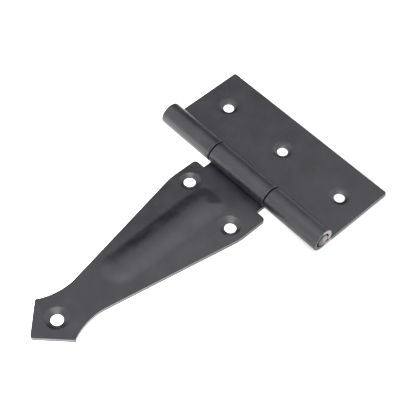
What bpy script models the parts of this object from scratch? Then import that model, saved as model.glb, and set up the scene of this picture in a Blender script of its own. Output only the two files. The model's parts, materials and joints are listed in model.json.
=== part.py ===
# A five inch T-hinge for a shed or gate door, in black coated sheet steel: a wide butt leaf,
# a long tapered strap leaf, and the steel pin that joins their rolled knuckles.
# Metres, +Z up. Both mounting faces lie on z = 0 and the pin runs along X.
import math

import bmesh
import bpy
from mathutils import Matrix, Vector

# Sheet, barrel and pin
SHEET = 0.0020
BARREL_RADIUS = 0.00572
PIN_RADIUS = 0.00342
PIN_CHAMFER = 0.0004
PIN_STEPS = 48
CURL_SWEEP = math.radians(305)  # leaves the rolled edge just above its own leaf
CURL_STEPS = 50

# Butt leaf
BUTT_LENGTH = 0.102
BUTT_REACH = 0.0440  # pin axis to far edge
BUTT_CORNER = 0.0012
NOTCH_REACH = 0.00632  # pin axis to the edge that the strap's knuckle turns in
TAB_HALF = 0.0185  # inner ends of the two outer knuckles
BUTT_HOLE_ROW = 0.0264  # pin axis to the row of holes
BUTT_HOLE_STEP = 0.0373
BUTT_HOLE = 0.00525
BUTT_SINK = 0.0110

# Strap leaf
NECK_HALF = 0.0180
SHOULDER_REACH = 0.0087
SHOULDER_HALF = 0.0236
SHOULDER_RADIUS = 0.0020
BEND_REACH = 0.02475  # where the sides start to taper
BEND_RADIUS = 0.0250
WAIST_HALF = 0.0080  # where the tapered edge and the barb's edge would cross
WAIST_REACH = 0.1040
WAIST_RADIUS = 0.0240
BARB_HALF = 0.0140
BARB_REACH = 0.1127
BARB_RADIUS = 0.0007
POINT_REACH = 0.1264  # the sharp point, before its rounding
POINT_RADIUS = 0.0015
STRAP_HOLE = 0.0057
STRAP_SINK = 0.0106
STRAP_HOLES = ((-0.0161, -0.0194), (0.0158, -0.0236))  # staggered, from the pin axis
TIP_HOLE = 0.0060
TIP_SINK = 0.0110
TIP_HOLE_REACH = 0.1117

# Pressed stiffening rib of the strap, raised at the front and hollow at the back
RIB_SHIFT = -0.0013  # its centre line, beside the strap's
RIB_HALF = 0.0083
RIB_START = 0.0166
RIB_END = 0.0823
RIB_CORNER = 0.0044
RIB_END_FLAT = 0.0001  # half of the straight left between the two arcs of the round end
RIB_FLANK = 0.0040
RIB_HEIGHT = 0.0014
RIB_LEVELS = 4

SINK_ANGLE = math.radians(120)  # included angle of the countersinks
ARC_STEP = math.radians(9)
HOLE_SIDES = 40
CUT_MARGIN = 0.001  # how far a cutter stands out of the sheet
WELD = 0.000001  # points closer than this are one point

# The pin axis stands at a place that centres the whole hinge on the origin
POINT_CUT = POINT_RADIUS * (math.hypot(BARB_HALF, POINT_REACH - BARB_REACH) / BARB_HALF - 1)
AXIS_Y = (POINT_REACH - POINT_CUT - BUTT_REACH) / 2
AXIS_Z = BARREL_RADIUS


def clear_scene():
    for found in list(bpy.data.objects):
        bpy.data.objects.remove(found)


def make_material(name, colour, roughness, metallic):
    material = bpy.data.materials.new(name)
    material.use_nodes = True
    shader = material.node_tree.nodes["Principled BSDF"]
    shader.inputs["Base Color"].default_value = (*colour, 1.0)
    shader.inputs["Roughness"].default_value = roughness
    shader.inputs["Metallic"].default_value = metallic
    return material


# Each corner is (x, y, radius). A corner with a radius becomes an arc tangent to both edges.
def rounded_outline(corners):
    points = []
    for index, (x, y, radius) in enumerate(corners):
        corner = Vector((x, y))
        if radius == 0:
            points.append(corner)
            continue
        before = (Vector(corners[index - 1][:2]) - corner).normalized()
        after = (Vector(corners[(index + 1) % len(corners)][:2]) - corner).normalized()
        half_angle = before.angle(after) / 2
        centre = corner + (before + after).normalized() * radius / math.sin(half_angle)
        first = corner + before * radius / math.tan(half_angle) - centre
        last = corner + after * radius / math.tan(half_angle) - centre
        turn = first.angle_signed(last)
        steps = max(2, round(abs(turn) / ARC_STEP))
        for step in range(steps + 1):
            points.append(centre + Matrix.Rotation(-turn * step / steps, 2) @ first)
    return points


# Adds a face over the outline at height z, facing down
def outline_face(mesh, outline, z):
    corners = [mesh.verts.new((point.x, point.y, z)) for point in outline]
    face = mesh.faces.new(corners)
    face.normal_update()
    if face.normal.z > 0:
        face.normal_flip()
    return face


# Moves the face's copy up to form a prism, and returns the copy
def raise_face(mesh, face, height):
    made = bmesh.ops.extrude_face_region(mesh, geom=[face], use_keep_orig=True)["geom"]
    top = next(item for item in made if isinstance(item, bmesh.types.BMFace))
    bmesh.ops.translate(mesh, verts=top.verts, vec=(0, 0, height))
    return top


# Every object's origin is on the pin axis, so the hinge turns about its own origins
def finish_object(name, mesh, material, parent):
    bmesh.ops.recalc_face_normals(mesh, faces=mesh.faces)
    data = bpy.data.meshes.new(name)
    mesh.to_mesh(data)
    mesh.free()
    data.materials.append(material)
    made = bpy.data.objects.new(name, data)
    bpy.context.scene.collection.objects.link(made)
    made.parent = parent
    return made


def shade_round(piece):
    piece.data.shade_smooth()
    piece.data.set_sharp_from_angle(angle=math.radians(30))


def make_flat_leaf(outline):
    mesh = bmesh.new()
    raise_face(mesh, outline_face(mesh, outline, -BARREL_RADIUS), SHEET)
    return mesh


# Rolls the leaf's tab faces, which stand under the pin axis, round the pin
def roll_knuckles(mesh, turn):
    mesh.faces.ensure_lookup_table()
    bmesh.ops.recalc_face_normals(mesh, faces=mesh.faces)
    tabs = []
    for face in mesh.faces:
        under_axis = all(abs(vert.co.y) < WELD for vert in face.verts)
        if under_axis:
            tabs.append(face)
    for tab in tabs:
        bmesh.ops.spin(
            mesh, geom=[tab], cent=(0, 0, 0), axis=(1, 0, 0), angle=turn, steps=CURL_STEPS
        )
    bmesh.ops.delete(mesh, geom=tabs, context="FACES_ONLY")


def make_cutter(name, mesh, parent):
    cutter = finish_object(name, mesh, bpy.data.materials["cutter"], parent)
    cutter.hide_render = True
    cutter.display_type = "WIRE"
    return cutter


# A screw hole: straight through, then a cone that opens to the front face
def hole_cutter(mesh, x, y, diameter, sink_diameter):
    front = SHEET - BARREL_RADIUS
    cone_depth = (sink_diameter - diameter) / 2 / math.tan(SINK_ANGLE / 2)
    over = sink_diameter / 2 + CUT_MARGIN * math.tan(SINK_ANGLE / 2)
    profile = (
        (0, front + CUT_MARGIN),
        (over, front + CUT_MARGIN),
        (diameter / 2, front - cone_depth),
        (diameter / 2, -BARREL_RADIUS - CUT_MARGIN),
        (0, -BARREL_RADIUS - CUT_MARGIN),
    )
    verts = [mesh.verts.new((x + radius, y, z)) for radius, z in profile]
    edges = [mesh.edges.new(pair) for pair in zip(verts, verts[1:])]
    bmesh.ops.spin(
        mesh, geom=verts + edges, cent=(x, y, 0), axis=(0, 0, 1),
        angle=math.tau, steps=HOLE_SIDES, use_merge=True,
    )
    bmesh.ops.remove_doubles(mesh, verts=mesh.verts, dist=WELD)


# The rib's solid: soft flanks that rise half a cosine wave from its foot to its brow
def rib_solid(base_z):
    mesh = bmesh.new()
    rings = [(0, base_z - SHEET / 2)]
    for level in range(RIB_LEVELS + 1):
        share = level / RIB_LEVELS
        rise = RIB_HEIGHT * (1 - math.cos(math.pi * share)) / 2
        rings.append((RIB_FLANK * share, base_z + rise))
    edges = []
    for inset, z in rings:
        left = RIB_SHIFT - RIB_HALF + inset
        right = RIB_SHIFT + RIB_HALF - inset
        start_radius = RIB_CORNER - inset
        end_radius = RIB_HALF - inset - RIB_END_FLAT
        outline = rounded_outline((
            (left, -RIB_START - inset, start_radius),
            (right, -RIB_START - inset, start_radius),
            (right, -RIB_END + inset, end_radius),
            (left, -RIB_END + inset, end_radius),
        ))
        ring = [mesh.verts.new((point.x, point.y, z)) for point in outline]
        edges.append([mesh.edges.new(pair) for pair in zip(ring, ring[1:] + ring[:1])])
    for lower, upper in zip(edges, edges[1:]):
        bmesh.ops.bridge_loops(mesh, edges=lower + upper)
    for loop in (edges[0], edges[-1]):
        bmesh.ops.edgeloop_fill(mesh, edges=loop)
    return mesh


def add_boolean(piece, cutter, operation):
    modifier = piece.modifiers.new(cutter.name, "BOOLEAN")
    modifier.operation = operation
    modifier.object = cutter


def make_butt_leaf(material, axis):
    half = BUTT_LENGTH / 2
    outline = rounded_outline((
        (half, 0, 0),
        (half, BUTT_REACH, BUTT_CORNER),
        (-half, BUTT_REACH, BUTT_CORNER),
        (-half, 0, 0),
        (-TAB_HALF, 0, 0),
        (-TAB_HALF, NOTCH_REACH, 0),
        (TAB_HALF, NOTCH_REACH, 0),
        (TAB_HALF, 0, 0),
    ))
    mesh = make_flat_leaf(outline)
    roll_knuckles(mesh, -CURL_SWEEP)
    leaf = finish_object("butt_leaf", mesh, material, axis)
    holes = bmesh.new()
    for column in (-1, 0, 1):
        hole_cutter(holes, column * BUTT_HOLE_STEP, BUTT_HOLE_ROW, BUTT_HOLE, BUTT_SINK)
    add_boolean(leaf, make_cutter("butt_holes", holes, axis), "DIFFERENCE")
    shade_round(leaf)
    return leaf


def make_strap_leaf(material, axis):
    right_edge = (
        (NECK_HALF, 0, 0),
        (NECK_HALF, -SHOULDER_REACH, 0),
        (SHOULDER_HALF, -SHOULDER_REACH, SHOULDER_RADIUS),
        (SHOULDER_HALF, -BEND_REACH, BEND_RADIUS),
        (WAIST_HALF, -WAIST_REACH, WAIST_RADIUS),
        (BARB_HALF, -BARB_REACH, BARB_RADIUS),
    )
    left_edge = tuple((-x, y, radius) for x, y, radius in reversed(right_edge))
    outline = rounded_outline(right_edge + ((0, -POINT_REACH, POINT_RADIUS),) + left_edge)
    mesh = make_flat_leaf(outline)
    roll_knuckles(mesh, CURL_SWEEP)
    leaf = finish_object("strap_leaf", mesh, material, axis)
    rib = make_cutter("rib_front", rib_solid(SHEET - BARREL_RADIUS), axis)
    hollow = make_cutter("rib_hollow", rib_solid(-BARREL_RADIUS), axis)
    holes = bmesh.new()
    for x, y in STRAP_HOLES:
        hole_cutter(holes, x, y, STRAP_HOLE, STRAP_SINK)
    hole_cutter(holes, 0, -TIP_HOLE_REACH, TIP_HOLE, TIP_SINK)
    add_boolean(leaf, rib, "UNION")
    add_boolean(leaf, hollow, "DIFFERENCE")
    add_boolean(leaf, make_cutter("strap_holes", holes, axis), "DIFFERENCE")
    shade_round(leaf)
    return leaf


# A plain rod with chamfered ends, flush with the outer knuckles
def make_pin(material, axis):
    half = BUTT_LENGTH / 2
    profile = (
        (-half, 0),
        (-half, PIN_RADIUS - PIN_CHAMFER),
        (-half + PIN_CHAMFER, PIN_RADIUS),
        (half - PIN_CHAMFER, PIN_RADIUS),
        (half, PIN_RADIUS - PIN_CHAMFER),
        (half, 0),
    )
    mesh = bmesh.new()
    verts = [mesh.verts.new((x, 0, radius)) for x, radius in profile]
    edges = [mesh.edges.new(pair) for pair in zip(verts, verts[1:])]
    bmesh.ops.spin(
        mesh, geom=verts + edges, cent=(0, 0, 0), axis=(1, 0, 0),
        angle=math.tau, steps=PIN_STEPS, use_merge=True,
    )
    bmesh.ops.remove_doubles(mesh, verts=mesh.verts, dist=WELD)
    pin = finish_object("hinge_pin", mesh, material, axis)
    shade_round(pin)
    return pin


def main():
    clear_scene()
    make_material("cutter", (0.8, 0.2, 0.1), 0.5, 0.0)
    black_coat = make_material("black_coated_steel", (0.045, 0.045, 0.052), 0.38, 0.0)
    bare_steel = make_material("bare_steel", (0.55, 0.54, 0.52), 0.30, 1.0)
    axis = bpy.data.objects.new("pin_axis", None)
    axis.location = (0, AXIS_Y, AXIS_Z)
    bpy.context.scene.collection.objects.link(axis)
    make_butt_leaf(black_coat, axis)
    make_strap_leaf(black_coat, axis)
    make_pin(bare_steel, axis)


main()
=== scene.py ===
import json
import math

import bmesh
import bpy
from mathutils import Matrix, Vector


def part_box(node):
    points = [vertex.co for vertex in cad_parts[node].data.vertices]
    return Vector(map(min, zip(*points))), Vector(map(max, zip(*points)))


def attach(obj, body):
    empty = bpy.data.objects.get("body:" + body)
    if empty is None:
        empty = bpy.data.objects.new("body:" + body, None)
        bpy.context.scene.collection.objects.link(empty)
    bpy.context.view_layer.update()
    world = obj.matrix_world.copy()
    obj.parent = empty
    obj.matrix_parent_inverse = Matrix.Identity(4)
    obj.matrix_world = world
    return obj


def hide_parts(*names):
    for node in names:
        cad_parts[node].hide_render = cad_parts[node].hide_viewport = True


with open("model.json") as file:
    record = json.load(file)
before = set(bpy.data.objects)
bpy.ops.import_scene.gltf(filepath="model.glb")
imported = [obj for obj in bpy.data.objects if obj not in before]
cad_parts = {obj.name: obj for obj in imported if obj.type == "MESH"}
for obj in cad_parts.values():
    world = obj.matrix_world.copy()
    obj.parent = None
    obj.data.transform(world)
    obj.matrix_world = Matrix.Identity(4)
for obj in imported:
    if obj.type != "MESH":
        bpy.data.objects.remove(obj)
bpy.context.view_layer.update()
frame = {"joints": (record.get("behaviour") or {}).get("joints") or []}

mm = 0.001
weld = 0.001 * mm  # points closer than this are one point

# The pin runs along X through this point, as the hinge joint says
axisPoint = Vector(frame["joints"][0]["pos_m"])
buttHigh = Vector(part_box("butt_leaf")[1])


def linear(text):
    channels = [int(text[start:start + 2], 16) / 255 for start in (1, 3, 5)]
    return tuple(c / 12.92 if c < 0.04045 else ((c + 0.055) / 1.055) ** 2.4 for c in channels) + (1.0,)


# Adds a node. An input is a value, or the socket of another node to link
def addNode(tree, kind, settings=None, inputs=None):
    node = tree.nodes.new(kind)
    for name, value in (settings or {}).items():
        setattr(node, name, value)
    for name, value in (inputs or {}).items():
        if isinstance(value, bpy.types.NodeSocket):
            tree.links.new(value, node.inputs[name])
        else:
            node.inputs[name].default_value = value
    return node


def newMaterial(name):
    made = bpy.data.materials.new(name)
    made.use_nodes = True
    made.node_tree.nodes.clear()
    return made, made.node_tree


def newObject(name, bm):
    data = bpy.data.meshes.new(name)
    bm.to_mesh(data)
    bm.free()
    made = bpy.data.objects.new(name, data)
    bpy.context.scene.collection.objects.link(made)
    return made


# What both leaves share: the sheet, its roll round the pin, its edges and its countersinks
sheet = {
    "thickness": 2.0 * mm,
    "curlSweep": 305,  # degrees, to where the rolled edge stops above its own leaf
    "curlSteps": 122,
    "edgeRound": 0.32 * mm,  # sheared edges, softened by the coating
    "edgeAngle": 40,  # degrees: edges sharper than this are rounded
    "rimRound": 0.12 * mm,  # edges of the screw holes
    "rimAngle": 32,
    "roundSegments": 4,
    "rimSegments": 2,
    "sinkAngle": 120,  # degrees, the whole cone
    "cutterOver": 1.0 * mm,  # how far a cutter stands out of the sheet
    "holeSides": 96,
    "arcSegments": 10,
    "gridStep": 0.88 * mm,
    "level": 0.99,  # a face lies flat if its normal is this near to straight up or down
}


# A flat outline on the table, each corner (x, y, cut), where cut is how far back its rounding starts
def outlineFace(bm, corners):
    verts = [bm.verts.new((x, y, 0.0)) for x, y, cut in corners]
    bm.faces.new(verts)
    for vert, corner in zip(verts, corners):
        if corner[2]:
            bmesh.ops.bevel(
                bm, geom=[vert], offset=corner[2], offset_type="OFFSET", segments=sheet["arcSegments"],
                profile=0.5, affect="VERTICES", clamp_overlap=False, material=-1,
            )


def raiseFaces(bm, faces, height):
    made = bmesh.ops.extrude_face_region(bm, geom=faces)["geom"]
    raised = [v for v in made if isinstance(v, bmesh.types.BMVert)]
    bmesh.ops.translate(bm, verts=raised, vec=(0, 0, height))


# Cuts the plate beyond the roll into a fine grid, so that it can be pressed to shape
def gridFaces(bm, start):
    step = sheet["gridStep"]

    def cutAcross(faces, place, direction):
        parts = set(faces) | {e for f in faces for e in f.edges} | {v for f in faces for v in f.verts}
        bmesh.ops.bisect_plane(bm, geom=list(parts), dist=weld, plane_co=place, plane_no=direction)

    low = min(v.co.y for v in bm.verts)
    wide = max(v.co.x for v in bm.verts)
    rows, columns = int((start - low) / step), int(wide / step)
    for row in range(rows + 1):
        place = start - row * step
        beyond = [f for f in bm.faces if min(v.co.y for v in f.verts) < place]
        cutAcross(beyond, (0, place, 0), (0, 1, 0))
    for column in range(-columns, columns + 1):
        bm.normal_update()
        plate = [
            f for f in bm.faces
            if f.calc_center_median().y < start and abs(f.normal.z) > sheet["level"]
        ]
        cutAcross(plate, (column * step, 0, 0), (1, 0, 0))


# A leaf cut from sheet, with the tabs that end under the pin rolled round it
def rolledLeaf(corners, turn, gridStart=None):
    bm = bmesh.new()
    outlineFace(bm, corners)
    raiseFaces(bm, bm.faces[:], sheet["thickness"])
    bmesh.ops.recalc_face_normals(bm, faces=bm.faces)
    tabs = [f for f in bm.faces if all(abs(v.co.y - axisPoint.y) < 10 * weld for v in f.verts)]
    for tab in tabs:
        bmesh.ops.spin(
            bm, geom=[tab], cent=axisPoint, axis=(1, 0, 0),
            angle=math.radians(turn), steps=sheet["curlSteps"],
        )
    bmesh.ops.delete(bm, geom=tabs, context="FACES_ONLY")
    bmesh.ops.recalc_face_normals(bm, faces=bm.faces)
    sharp = [e for e in bm.edges if e.calc_face_angle(0.0) > math.radians(sheet["edgeAngle"])]
    bmesh.ops.bevel(
        bm, geom=sharp, offset=sheet["edgeRound"], offset_type="OFFSET",
        segments=sheet["roundSegments"], profile=0.5, affect="EDGES", clamp_overlap=False, material=-1,
    )
    if gridStart:
        gridFaces(bm, gridStart)
    bmesh.ops.dissolve_degenerate(bm, edges=bm.edges, dist=weld)
    return bm


# A turned cutter for a screw hole: straight through, then a cone that opens to the front
def holeCutter(bm, x, y, hole, sink, lift=0.0):
    top = sheet["thickness"] + lift
    slope = math.tan(math.radians(sheet["sinkAngle"] / 2))
    over = sheet["cutterOver"]
    profile = (
        (0.0, top + over),
        (sink / 2 + over * slope, top + over),
        (hole / 2, top - (sink - hole) / 2 / slope),
        (hole / 2, -over),
        (0.0, -over),
    )
    verts = [bm.verts.new((x + radius, y, z)) for radius, z in profile]
    edges = [bm.edges.new(pair) for pair in zip(verts, verts[1:])]
    bmesh.ops.spin(
        bm, geom=verts + edges, cent=(x, y, 0), axis=(0, 0, 1),
        angle=math.tau, steps=sheet["holeSides"], use_merge=True,
    )


# Cuts the holes, rounds what the cut left sharp, and makes the result the piece's own mesh
def cutHoles(piece, bm):
    bmesh.ops.remove_doubles(bm, verts=bm.verts, dist=weld)
    bmesh.ops.recalc_face_normals(bm, faces=bm.faces)
    cutter = newObject("cutter", bm)
    cut = piece.modifiers.new("cut", "BOOLEAN")
    cut.operation = "DIFFERENCE"
    cut.object = cutter
    cut.solver = "MANIFOLD"  # the exact solver turns the butt leaf inside out in some runs
    rounding = piece.modifiers.new("round", "BEVEL")
    rounding.width = sheet["rimRound"]
    rounding.segments = sheet["rimSegments"]
    rounding.limit_method = "ANGLE"
    rounding.angle_limit = math.radians(sheet["rimAngle"])
    rounding.use_clamp_overlap = False
    piece.modifiers.new("shading", "WEIGHTED_NORMAL").keep_sharp = False
    piece.data.shade_smooth()
    graph = bpy.context.evaluated_depsgraph_get()
    settled = bpy.data.meshes.new_from_object(
        piece.evaluated_get(graph), preserve_all_data_layers=True, depsgraph=graph
    )
    piece.modifiers.clear()
    piece.data = settled
    bpy.data.objects.remove(cutter)


# Its length and the reach of its far edge are the CAD's
buttLeaf = {
    "corner": 1.1 * mm,
    "tabHalf": 18.5 * mm,  # inner ends of the two outer knuckles
    "notchReach": 6.32 * mm,  # from the pin axis to the notch's edge
    "holeRow": 26.4 * mm,
    "holeStep": 37.3 * mm,
    "hole": 5.25 * mm,
    "sink": 11.0 * mm,
}


def makeButtLeaf():
    half, reach = buttHigh.x, buttHigh.y
    root, tab = axisPoint.y, buttLeaf["tabHalf"]
    notch = root + buttLeaf["notchReach"]
    bm = rolledLeaf((
        (half, root, 0),
        (half, reach, buttLeaf["corner"]),
        (-half, reach, buttLeaf["corner"]),
        (-half, root, 0),
        (-tab, root, 0),
        (-tab, notch, 0),
        (tab, notch, 0),
        (tab, root, 0),
    ), -sheet["curlSweep"])
    piece = newObject("butt_leaf_sheet", bm)
    holes = bmesh.new()
    for column in (-1, 0, 1):
        holeCutter(
            holes, column * buttLeaf["holeStep"], root + buttLeaf["holeRow"],
            buttLeaf["hole"], buttLeaf["sink"],
        )
    cutHoles(piece, holes)
    return piece


# Corners and holes are (distance beside the centre line, distance from the pin axis)
strapLeaf = {
    "neckHalf": 17.85 * mm,
    "shoulder": (23.6 * mm, 8.7 * mm),
    "shoulderCut": 2.0 * mm,
    "bend": (23.8 * mm, 24.75 * mm),
    "bendCut": 2.6 * mm,
    "waist": (8.3 * mm, 104.0 * mm),
    "waistCut": 10.5 * mm,
    "barb": (14.0 * mm, 112.7 * mm),
    "barbCut": 0.8 * mm,
    "pointReach": 126.4 * mm,
    "pointCut": 1.5 * mm,
    "upperHoles": ((-16.1 * mm, 19.4 * mm), (15.8 * mm, 23.6 * mm)),
    "hole": 5.6 * mm,
    "sink": 10.6 * mm,
    "tipHoleReach": 111.7 * mm,
    "tipHole": 5.7 * mm,
    "tipSink": 11.0 * mm,
}

rib = {
    "centre": -1.3 * mm,
    "half": 9.0 * mm,
    "start": 16.2 * mm,
    "end": 83.8 * mm,
    "corner": 5.0 * mm,
    "endCorner": 9.0 * mm,
    "shoulder": 10.4 * mm,  # how far in from its foot it goes on rising
    "height": 1.5 * mm,
    "fade": (48.0 * mm, 86.0 * mm, 0.28),  # it grows shallower by this share towards the tip
}

# Pressing the rib bows the strap: its middle stands off the table and its edges rest on it
crown = {
    "height": 1.05 * mm,
    "rise": (6.4 * mm, 19.0 * mm),
    "fall": (24.0 * mm, 92.0 * mm),
}


def ease(value, start, end):
    part = min(max((value - start) / (end - start), 0.0), 1.0)
    return part * part * (3 - 2 * part)


# How far the press lifts the strap at a place: its crown, and the rib's quick foot and long round top
def pressedRise(x, reach):
    wide, long = strapLeaf["bend"]
    narrow, far = strapLeaf["waist"]
    taper = min(max((reach - long) / (far - long), 0.0), 1.0)
    edge = wide + (narrow - wide) * taper
    bow = crown["height"] * ease(reach, *crown["rise"]) * (1 - ease(reach, *crown["fall"]))
    rise = bow * max(1 - (x / edge) ** 2, 0.0)
    middle = (rib["start"] + rib["end"]) / 2
    corner = rib["corner"] if reach < middle else rib["endCorner"]
    outX = abs(x - rib["centre"]) - rib["half"] + corner
    outY = abs(reach - middle) - (rib["end"] - rib["start"]) / 2 + corner
    inside = corner - math.hypot(max(outX, 0.0), max(outY, 0.0)) - min(max(outX, outY), 0.0)
    depth = min(max(inside / rib["shoulder"], 0.0), 1.0)
    start, end, share = rib["fade"]
    height = rib["height"] * (1 - share * ease(reach, start, end))
    return rise + height * (1 - (1 - depth) ** 4 * (1 + 4 * depth))


def makeStrapLeaf():
    s = strapLeaf
    rightEdge = [
        (s["neckHalf"], 0.0, 0),
        (s["neckHalf"], s["shoulder"][1], 0),
        (*s["shoulder"], s["shoulderCut"]),
        (*s["bend"], s["bendCut"]),
        (*s["waist"], s["waistCut"]),
        (*s["barb"], s["barbCut"]),
    ]
    leftEdge = [(-x, y, back) for x, y, back in reversed(rightEdge)]
    outline = rightEdge + [(0.0, s["pointReach"], s["pointCut"])] + leftEdge
    pressedFrom = crown["rise"][0]
    bm = rolledLeaf(
        [(x, axisPoint.y - y, back) for x, y, back in outline],
        sheet["curlSweep"], axisPoint.y - pressedFrom,
    )
    for vert in bm.verts:
        reach = axisPoint.y - vert.co.y
        if reach > pressedFrom:
            vert.co.z += pressedRise(vert.co.x, reach)
    piece = newObject("strap_leaf_sheet", bm)
    holes = bmesh.new()
    for x, y in s["upperHoles"]:
        holeCutter(holes, x, axisPoint.y - y, s["hole"], s["sink"], pressedRise(x, y))
    holeCutter(holes, 0.0, axisPoint.y - s["tipHoleReach"], s["tipHole"], s["tipSink"])
    cutHoles(piece, holes)
    return piece


pin = {
    "radius": 3.2 * mm,
    "drop": (0.0, 0.2 * mm, -0.45 * mm),  # it lies a little low in its loose knuckles
    "chamfer": 0.25 * mm,
    "chamferLength": 0.5 * mm,
    "crown": 0.06 * mm,
    "steps": 96,
    "edgeAngle": 30,  # degrees
}


# A rod with chamfered, slightly crowned ends
def makePin():
    half, radius, low = buttHigh.x, pin["radius"], pin["crown"]
    flat = radius - pin["chamfer"]
    profile = [
        (half, 0.0),
        (half - low / 2, flat / 2),
        (half - low, flat),
        (half - pin["chamferLength"], radius),
    ]
    profile += [(-x, r) for x, r in reversed(profile)]
    bm = bmesh.new()
    verts = [bm.verts.new((x, axisPoint.y, axisPoint.z + r)) for x, r in profile]
    edges = [bm.edges.new(pair) for pair in zip(verts, verts[1:])]
    bmesh.ops.spin(
        bm, geom=verts + edges, cent=axisPoint, axis=(1, 0, 0),
        angle=math.tau, steps=pin["steps"], use_merge=True,
    )
    bmesh.ops.remove_doubles(bm, verts=bm.verts, dist=weld)
    bmesh.ops.recalc_face_normals(bm, faces=bm.faces)
    bmesh.ops.translate(bm, verts=bm.verts, vec=pin["drop"])
    piece = newObject("pin_rod", bm)
    piece.data.shade_smooth()
    piece.data.set_sharp_from_angle(angle=math.radians(pin["edgeAngle"]))
    return piece


coat = {
    "film": "#121116",
    "filmPale": "#201f26",
    "steel": "#a09d9a",
    "roughness": (0.27, 0.40),
    "cloud": 9 * mm,
    "cloudSpread": (0.3, 0.7),  # the noise's own range that spans from one film colour to the other
    "peel": 0.9 * mm,  # orange peel
    "peelDepth": 0.004 * mm,
    "wave": 34 * mm,  # the sheet is not quite flat
    "waveDepth": 0.05 * mm,
    "faced": (0.20 * mm, 0.04 * mm),  # in from the barrel's ends, where bare steel starts and is whole
    "facedReach": 6.2 * mm,  # how far from the pin axis that goes on the butt leaf's side
    "wornSide": (0.0, 1.0, 0.2),  # the faced ends are bare on this side
    "wornFrom": (1.8 * mm, 3.0 * mm),  # past the pin axis that way, where bare steel starts and is whole
    "wornRagged": 3 * mm,
    "rubHighlight": 0.4 * mm,  # width of the painted highlight on the knuckles' rims, shown as rubbed bare steel
    "rubHighlightWander": 0.5 * mm,
    "rubHighlightShine": 0.2,
    "rubHighlightDepth": (0.4 * mm, 0.1 * mm),  # in from the barrel's outside, where it starts and is whole
    "rubHighlightAbove": 2.6 * mm,  # only on the knuckles, not on the leaves
    "edgeFrom": (1.60 * mm, 1.70 * mm),  # heights where the painted highlight along a leaf's edge starts and is whole
    "edgeTurn": (0.83, 0.72),  # how level the surface is where that starts and is whole
    "edgeClear": 0.3 * mm,  # off the barrel
    "paintedEdgeHighlight": 0.5,
}
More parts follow.
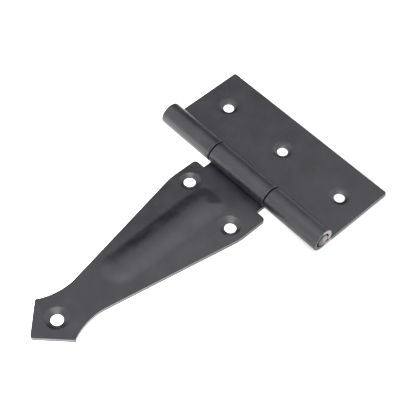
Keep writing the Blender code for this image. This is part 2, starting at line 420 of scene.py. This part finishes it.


# Black electrocoat on cold rolled sheet steel: a satin, faintly violet grey film that shows soft
# reflections, a fine orange peel and cloudy patches, with bare steel where the barrel's ends were
# faced, and bare steel painted on as highlights on the knuckles' rims and as a paler line on the edges
def coatedSteel():
    made, tree = newMaterial("black_electrocoated_steel")
    reading = addNode(tree, "ShaderNodeTexCoord")
    place = reading.outputs["Object"]
    parts = addNode(tree, "ShaderNodeSeparateXYZ", inputs={"Vector": place}).outputs
    cloud = addNode(tree, "ShaderNodeTexNoise", inputs={
        "Vector": place, "Scale": 1 / coat["cloud"], "Detail": 4.0, "Roughness": 0.6,
    }).outputs["Fac"]
    peel = addNode(tree, "ShaderNodeTexNoise", inputs={
        "Vector": place, "Scale": 1 / coat["peel"], "Detail": 2.0,
    }).outputs["Fac"]
    wave = addNode(tree, "ShaderNodeTexNoise", inputs={
        "Vector": place, "Scale": 1 / coat["wave"], "Detail": 1.0,
    }).outputs["Fac"]
    low, high = coat["cloudSpread"]
    roughness = addNode(tree, "ShaderNodeMapRange", inputs={
        "Value": cloud, "From Min": low, "From Max": high,
        "To Min": coat["roughness"][0], "To Max": coat["roughness"][1],
    }).outputs["Result"]
    blotch = addNode(tree, "ShaderNodeMapRange", inputs={
        "Value": cloud, "From Min": low, "From Max": high,
    }).outputs["Result"]
    film = addNode(tree, "ShaderNodeMix", {"data_type": "RGBA"}, {
        "Factor": blotch, 6: linear(coat["film"]), 7: linear(coat["filmPale"]),
    }).outputs[2]

    # Worn through to bare steel on the barrel's faced ends, on the side away from the strap
    beyond = addNode(tree, "ShaderNodeMath", {"operation": "ABSOLUTE"}, {0: parts["X"]}).outputs[0]
    faced = addNode(tree, "ShaderNodeMapRange", inputs={
        "Value": beyond,
        "From Min": buttHigh.x - coat["faced"][0], "From Max": buttHigh.x - coat["faced"][1],
    }).outputs["Result"]
    across = addNode(tree, "ShaderNodeVectorMath", {"operation": "DOT_PRODUCT"}, {
        0: place, 1: coat["wornSide"],
    }).outputs["Value"]
    ragged = addNode(tree, "ShaderNodeMath", {"operation": "MULTIPLY_ADD"}, {
        0: peel, 1: coat["wornRagged"], 2: across,
    }).outputs[0]
    middle = axisPoint.dot(Vector(coat["wornSide"]))
    worn = addNode(tree, "ShaderNodeMapRange", inputs={
        "Value": ragged,
        "From Min": middle + coat["wornFrom"][0], "From Max": middle + coat["wornFrom"][1],
    }).outputs["Result"]
    onBarrel = addNode(tree, "ShaderNodeMath", {"operation": "LESS_THAN"}, {
        0: parts["Y"], 1: axisPoint.y + coat["facedReach"],
    }).outputs[0]
    bareEnd = addNode(tree, "ShaderNodeMath", {"operation": "MULTIPLY"}, {0: faced, 1: onBarrel}).outputs[0]
    bareRim = addNode(tree, "ShaderNodeMath", {"operation": "MULTIPLY"}, {0: bareEnd, 1: worn}).outputs[0]

    # Painted highlight on the rims of the knuckles at the seams, shown as bare steel rubbed where they turn
    # against each other
    seam = (strapLeaf["neckHalf"] + buttLeaf["tabHalf"]) / 2
    fromSeam = addNode(tree, "ShaderNodeMath", {"operation": "SUBTRACT"}, {0: beyond, 1: seam}).outputs[0]
    offSeam = addNode(tree, "ShaderNodeMath", {"operation": "ABSOLUTE"}, {0: fromSeam}).outputs[0]
    wander = coat["rubHighlightWander"]
    raggedSeam = addNode(tree, "ShaderNodeMath", {"operation": "MULTIPLY_ADD"}, {
        0: cloud, 1: wander, 2: offSeam,
    }).outputs[0]
    rubbedHighlight = addNode(tree, "ShaderNodeMapRange", inputs={
        "Value": raggedSeam, "From Min": coat["rubHighlight"] + wander / 2, "From Max": wander / 2,
        "To Max": coat["rubHighlightShine"],
    }).outputs["Result"]
    fromAxis = addNode(tree, "ShaderNodeVectorMath", {"operation": "MULTIPLY_ADD"}, {
        0: place, 1: (0.0, 1.0, 1.0), 2: (0.0, -axisPoint.y, -axisPoint.z),
    }).outputs["Vector"]
    radial = addNode(tree, "ShaderNodeVectorMath", {"operation": "LENGTH"}, {0: fromAxis}).outputs["Value"]
    outside = addNode(tree, "ShaderNodeMapRange", inputs={
        "Value": radial,
        "From Min": axisPoint.z - coat["rubHighlightDepth"][0], "From Max": axisPoint.z - coat["rubHighlightDepth"][1],
    }).outputs["Result"]
    aboveLeaf = addNode(tree, "ShaderNodeMath", {"operation": "GREATER_THAN"}, {
        0: parts["Z"], 1: coat["rubHighlightAbove"],
    }).outputs[0]
    rim = addNode(tree, "ShaderNodeMath", {"operation": "MULTIPLY"}, {0: rubbedHighlight, 1: outside}).outputs[0]
    knuckleRim = addNode(tree, "ShaderNodeMath", {"operation": "MULTIPLY"}, {
        0: rim, 1: aboveLeaf,
    }).outputs[0]

    # Painted highlight along the front edges of the flat sheet, shown as a paler line of bare steel, but not
    # in the screw holes
    risen = addNode(tree, "ShaderNodeMapRange", inputs={
        "Value": parts["Z"], "From Min": coat["edgeFrom"][0], "From Max": coat["edgeFrom"][1],
        "To Max": coat["paintedEdgeHighlight"],
    }).outputs["Result"]
    facing = addNode(tree, "ShaderNodeSeparateXYZ", inputs={
        "Vector": reading.outputs["Normal"],
    }).outputs["Z"]
    upright = addNode(tree, "ShaderNodeMath", {"operation": "ABSOLUTE"}, {0: facing}).outputs[0]
    turned = addNode(tree, "ShaderNodeMapRange", inputs={
        "Value": upright, "From Min": coat["edgeTurn"][0], "From Max": coat["edgeTurn"][1],
    }).outputs["Result"]
    offBarrel = addNode(tree, "ShaderNodeMath", {"operation": "GREATER_THAN"}, {
        0: radial, 1: axisPoint.z + coat["edgeClear"],
    }).outputs[0]
    shoulder = addNode(tree, "ShaderNodeMath", {"operation": "MULTIPLY"}, {0: risen, 1: turned}).outputs[0]
    edge = addNode(tree, "ShaderNodeMath", {"operation": "MULTIPLY"}, {0: shoulder, 1: offBarrel}).outputs[0]

    # Bare steel: real wear on the faced ends, together with the painted highlights on the knuckles' rims and
    # the leaves' edges
    barrelWearAndHighlights = addNode(tree, "ShaderNodeMath", {"operation": "MAXIMUM"}, {
        0: bareRim, 1: knuckleRim,
    }).outputs[0]
    wearAndHighlights = addNode(tree, "ShaderNodeMath", {"operation": "MAXIMUM"}, {0: barrelWearAndHighlights, 1: edge}).outputs[0]
    colour = addNode(tree, "ShaderNodeMix", {"data_type": "RGBA"}, {
        "Factor": wearAndHighlights, 6: film, 7: linear(coat["steel"]),
    }).outputs[2]
    waved = addNode(tree, "ShaderNodeBump", inputs={
        "Height": wave, "Distance": coat["waveDepth"], "Strength": 1.0,
    }).outputs["Normal"]
    peeled = addNode(tree, "ShaderNodeBump", inputs={
        "Height": peel, "Distance": coat["peelDepth"], "Strength": 1.0, "Normal": waved,
    }).outputs["Normal"]
    shader = addNode(tree, "ShaderNodeBsdfPrincipled", inputs={
        "Base Color": colour, "Metallic": wearAndHighlights, "Roughness": roughness, "Normal": peeled, "IOR": 1.5,
    })
    addNode(tree, "ShaderNodeOutputMaterial", inputs={"Surface": shader.outputs[0]})
    return made


rodSteel = {
    "scale": "#1d1b1a",
    "dull": "#3f3b3a",
    "bright": "#a19a98",
    "cropped": 0.24 * mm,  # how far round its edge the clean end runs
    "lean": 45.0,  # how fast it cleans up towards the butt leaf's side, per metre
    "spread": 0.14,
    "roughness": 0.42,
    "smear": 2.4 * mm,
    "pit": 0.5 * mm,
    "pitDepth": 0.03 * mm,
}


# Mild steel rod with black mill scale on its sides: its cropped ends are dull grey, smeared and pitted
def bareSteel():
    made, tree = newMaterial("cropped_steel_rod")
    place = addNode(tree, "ShaderNodeTexCoord").outputs["Object"]
    smear = addNode(tree, "ShaderNodeTexNoise", inputs={
        "Vector": place, "Scale": 1 / rodSteel["smear"], "Detail": 4.0, "Roughness": 0.65,
    }).outputs["Fac"]
    pit = addNode(tree, "ShaderNodeTexNoise", inputs={
        "Vector": place, "Scale": 1 / rodSteel["pit"], "Detail": 3.0,
    }).outputs["Fac"]
    parts = addNode(tree, "ShaderNodeSeparateXYZ", inputs={"Vector": place}).outputs
    leaning = addNode(tree, "ShaderNodeMath", {"operation": "MULTIPLY_ADD"}, {
        0: parts["Y"], 1: rodSteel["lean"], 2: smear,
    }).outputs[0]
    middle = 0.5 + rodSteel["lean"] * axisPoint.y
    patch = addNode(tree, "ShaderNodeMapRange", inputs={
        "Value": leaning,
        "From Min": middle - rodSteel["spread"], "From Max": middle + rodSteel["spread"],
    }).outputs["Result"]
    endColour = addNode(tree, "ShaderNodeMix", {"data_type": "RGBA"}, {
        "Factor": patch, 6: linear(rodSteel["dull"]), 7: linear(rodSteel["bright"]),
    }).outputs[2]
    beyond = addNode(tree, "ShaderNodeMath", {"operation": "ABSOLUTE"}, {0: parts["X"]}).outputs[0]
    cropped = addNode(tree, "ShaderNodeMapRange", inputs={
        "Value": beyond,
        "From Min": buttHigh.x - rodSteel["cropped"], "From Max": buttHigh.x - rodSteel["cropped"] / 2,
    }).outputs["Result"]
    colour = addNode(tree, "ShaderNodeMix", {"data_type": "RGBA"}, {
        "Factor": cropped, 6: linear(rodSteel["scale"]), 7: endColour,
    }).outputs[2]
    bump = addNode(tree, "ShaderNodeBump", inputs={"Height": pit, "Distance": rodSteel["pitDepth"]})
    shader = addNode(tree, "ShaderNodeBsdfPrincipled", inputs={
        "Base Color": colour, "Metallic": 1.0, "Roughness": rodSteel["roughness"],
        "Normal": bump.outputs["Normal"],
    })
    addNode(tree, "ShaderNodeOutputMaterial", inputs={"Surface": shader.outputs[0]})
    return made


table = {
    "size": 3.0,  # metres
    "gap": 0.3 * mm,  # under the leaves
    "acrylic": "#b4b4b4",
    "roughness": 0.6,
    "paintedLight": (0.25, 3.2),  # painted light that the table gives off itself, at its back and at its front left
    "paintedLightSide": (-0.66, -0.75, 0.0),
    "paintedLightReach": 80 * mm,
}


# White table whose glow is painted light: dim at its back and rising to a painted pool of light brightest at
# its front left, so that it renders as plain white
def litTable():
    made, tree = newMaterial("white_acrylic_table")
    place = addNode(tree, "ShaderNodeTexCoord").outputs["Object"]
    forward = addNode(tree, "ShaderNodeVectorMath", {"operation": "DOT_PRODUCT"}, {
        0: place, 1: table["paintedLightSide"],
    }).outputs["Value"]
    # Painted light: the table's own glow, a pool of light brightest at its front left
    paintedLight = addNode(tree, "ShaderNodeMapRange", {"interpolation_type": "SMOOTHSTEP"}, {
        "Value": forward, "From Min": -table["paintedLightReach"], "From Max": table["paintedLightReach"],
        "To Min": table["paintedLight"][0], "To Max": table["paintedLight"][1],
    }).outputs["Result"]
    shader = addNode(tree, "ShaderNodeBsdfPrincipled", inputs={
        "Base Color": linear(table["acrylic"]), "Roughness": table["roughness"],
        "Emission Color": linear("#ffffff"), "Emission Strength": paintedLight,
    })
    addNode(tree, "ShaderNodeOutputMaterial", inputs={"Surface": shader.outputs[0]})
    return made


def makeTable():
    bm = bmesh.new()
    bmesh.ops.create_grid(bm, x_segments=1, y_segments=1, size=table["size"])
    bmesh.ops.translate(bm, verts=bm.verts, vec=(0, 0, -table["gap"]))
    top = newObject("table", bm)
    top.data.materials.append(litTable())


room = {
    "dark": (143, 15),  # azimuth from +X and elevation of the middle of the room's dark side, degrees
    "shade": (23, 44),  # degrees from there at which it is darkest and has gone
    "dim": 0.02,
    "bright": 1.92,
}


# Soft light from all round and above, but for one dark side of the room
def makeWorld():
    world = bpy.data.worlds.new("studio")
    bpy.context.scene.world = world
    world.use_nodes = True
    tree = world.node_tree
    tree.nodes.clear()
    azimuth, elevation = (math.radians(angle) for angle in room["dark"])
    dark = (
        math.cos(azimuth) * math.cos(elevation),
        math.sin(azimuth) * math.cos(elevation),
        math.sin(elevation),
    )
    near, far = (math.cos(math.radians(angle)) for angle in room["shade"])
    place = addNode(tree, "ShaderNodeTexCoord").outputs["Generated"]
    facing = addNode(tree, "ShaderNodeVectorMath", {"operation": "DOT_PRODUCT"}, {0: place, 1: dark})
    strength = addNode(tree, "ShaderNodeMapRange", {"interpolation_type": "SMOOTHSTEP"}, {
        "Value": facing.outputs["Value"], "From Min": far, "From Max": near,
        "To Min": room["bright"], "To Max": room["dim"],
    }).outputs["Result"]
    shader = addNode(tree, "ShaderNodeBackground", inputs={"Color": linear("#ffffff"), "Strength": strength})
    addNode(tree, "ShaderNodeOutputWorld", inputs={"Surface": shader.outputs[0]})


softbox = {
    "place": (0.32, -0.35, 1.1),
    "size": 0.9,
    "power": 9.5,
}


# A square light over the front right, aimed at the barrel's middle
def makeSoftbox():
    data = bpy.data.lights.new("front_softbox", "AREA")
    data.shape = "SQUARE"
    data.size = softbox["size"]
    data.energy = softbox["power"]
    light = bpy.data.objects.new("front_softbox", data)
    light.location = softbox["place"]
    light.rotation_euler = (Vector(softbox["place"]) - axisPoint).to_track_quat("Z", "Y").to_euler()
    bpy.context.scene.collection.objects.link(light)


camera = {
    "aim": (0.1 * mm, 18.1 * mm, 0.0),
    "azimuth": 45.24,
    "elevation": 53.89,
    "roll": 1.955,
    "distance": 524.6 * mm,
    "lens": 98.1,
    "sensor": 36,
    "nearest": 0.01,
}


def makeCamera():
    data = bpy.data.cameras.new("camera")
    data.lens = camera["lens"]
    data.sensor_width = camera["sensor"]
    data.clip_start = camera["nearest"]
    made = bpy.data.objects.new("camera", data)
    bpy.context.scene.collection.objects.link(made)
    bpy.context.scene.camera = made
    turn = (
        Matrix.Rotation(math.radians(camera["azimuth"]), 4, "Z")
        @ Matrix.Rotation(math.radians(90 - camera["elevation"]), 4, "X")
        @ Matrix.Rotation(math.radians(camera["roll"]), 4, "Z")
    )
    back = Matrix.Translation((0, 0, camera["distance"]))
    made.matrix_world = Matrix.Translation(camera["aim"]) @ turn @ back


makeCamera()
print("camera placed")
makeTable()
makeWorld()
makeSoftbox()
print("table and lights placed")

blackCoat = coatedSteel()
leaves = ((makeButtLeaf(), "butt_leaf", "frame_side"), (makeStrapLeaf(), "strap_leaf", "gate_side"))
for piece, node, body in leaves:
    piece.data.materials.clear()
    piece.data.materials.append(blackCoat)
    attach(piece, body)
    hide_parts(node)
    print(node, "made:", len(piece.data.polygons), "faces")
rod = makePin()
rod.data.materials.append(bareSteel())
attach(rod, "frame_side")
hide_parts("hinge_pin")
print("pin made")

bpy.context.scene.view_settings.view_transform = "Standard"
